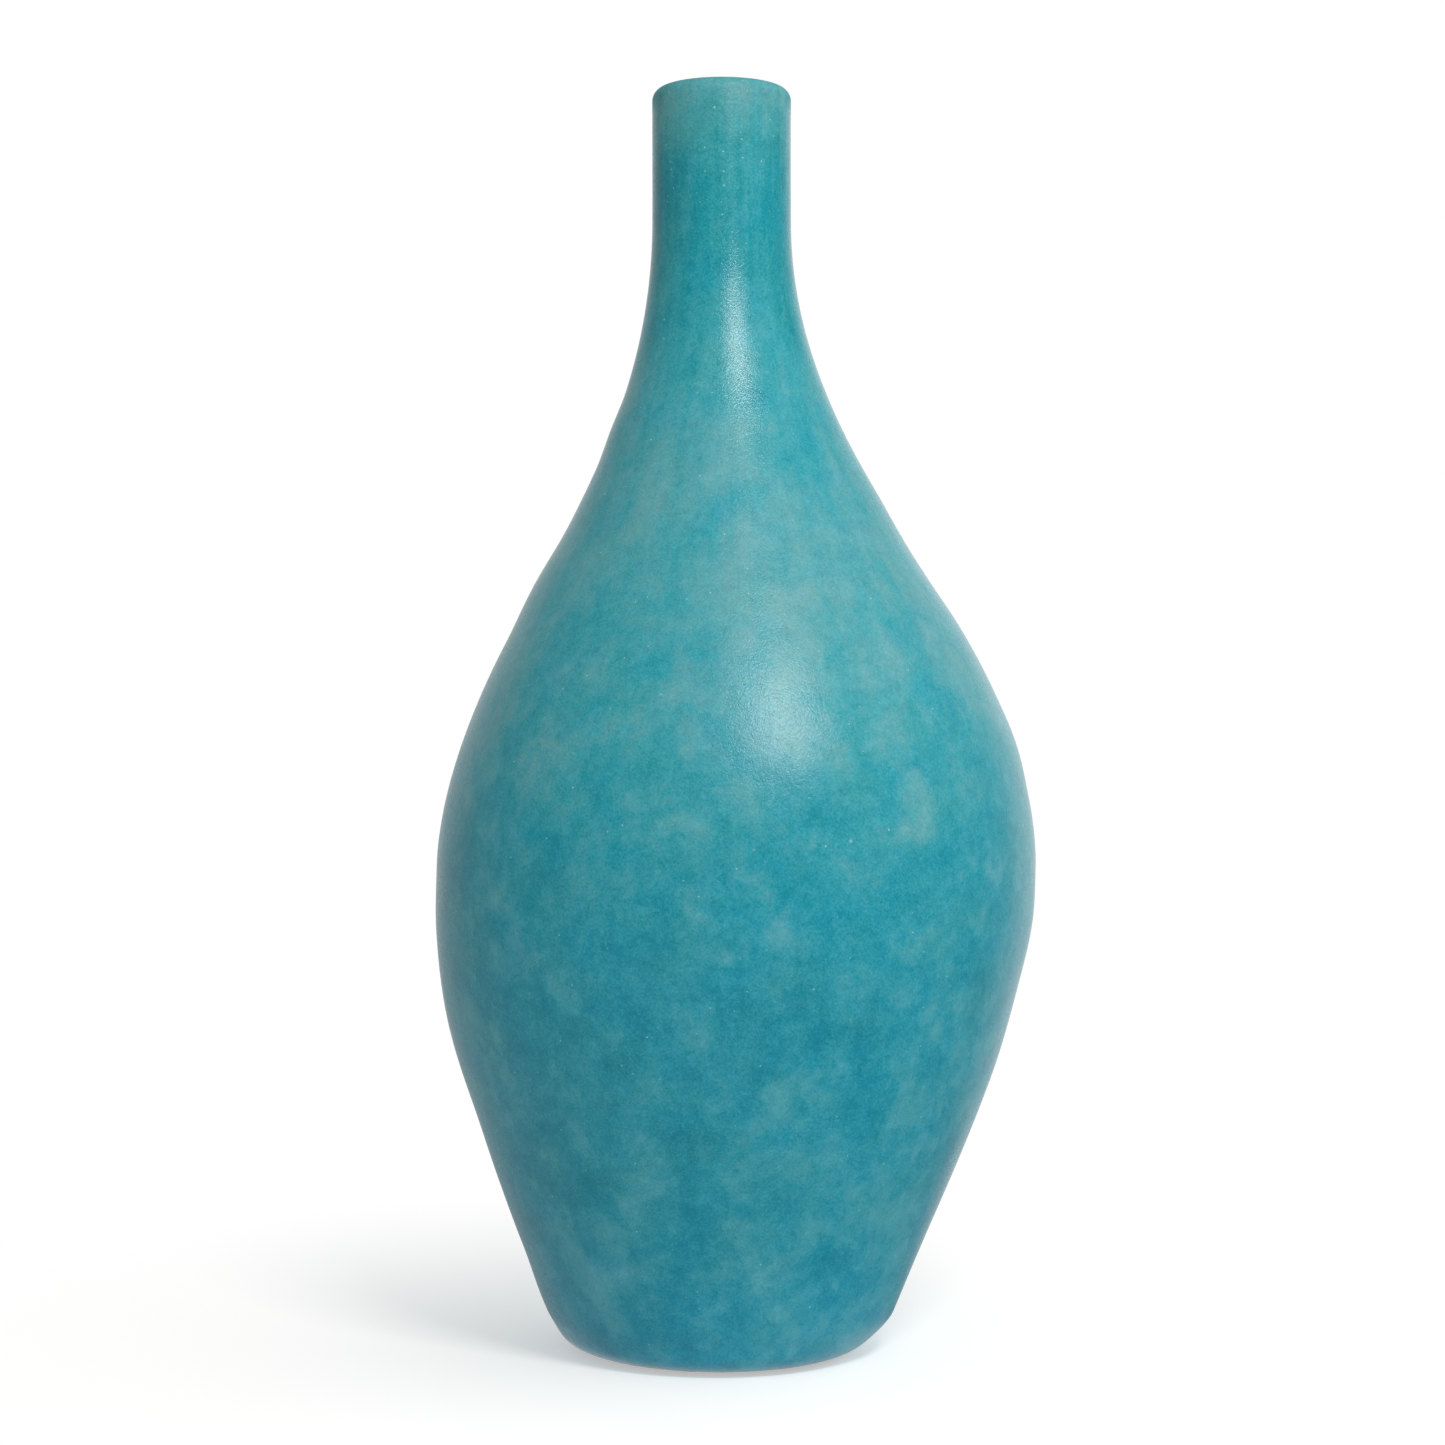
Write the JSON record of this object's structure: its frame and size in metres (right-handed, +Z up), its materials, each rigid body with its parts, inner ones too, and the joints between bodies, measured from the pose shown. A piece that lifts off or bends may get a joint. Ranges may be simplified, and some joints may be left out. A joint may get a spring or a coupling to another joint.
{
  "type": "bottle vase",
  "caption": "Tall terracotta bottle vase with a swelling belly and a narrow straight neck, coated in burnished turquoise lime plaster",
  "frame": {"origin": "on the table, in the middle of the vase's box: under the centre of the belly's widest ring", "axes": "+Z up, from the foot to the mouth; +X towards the side on which the hand-thrown belly swells off the line through foot and neck"},
  "size_m": [0.2374, 0.2372, 0.5],
  "materials": {
    "terracotta": "matte",
    "slip": "matte",
    "lime_plaster": "matte",
    "burnished_plaster": "satin"
  },
  "bodies": {
    "root": {"base_section": "terracotta", "belly_lute": "slip", "shoulder_section": "terracotta", "neck_lute": "slip", "neck_section": "terracotta", "first_coat": "lime_plaster", "finish_coat": "burnished_plaster"}
  },
  "joints": []
}
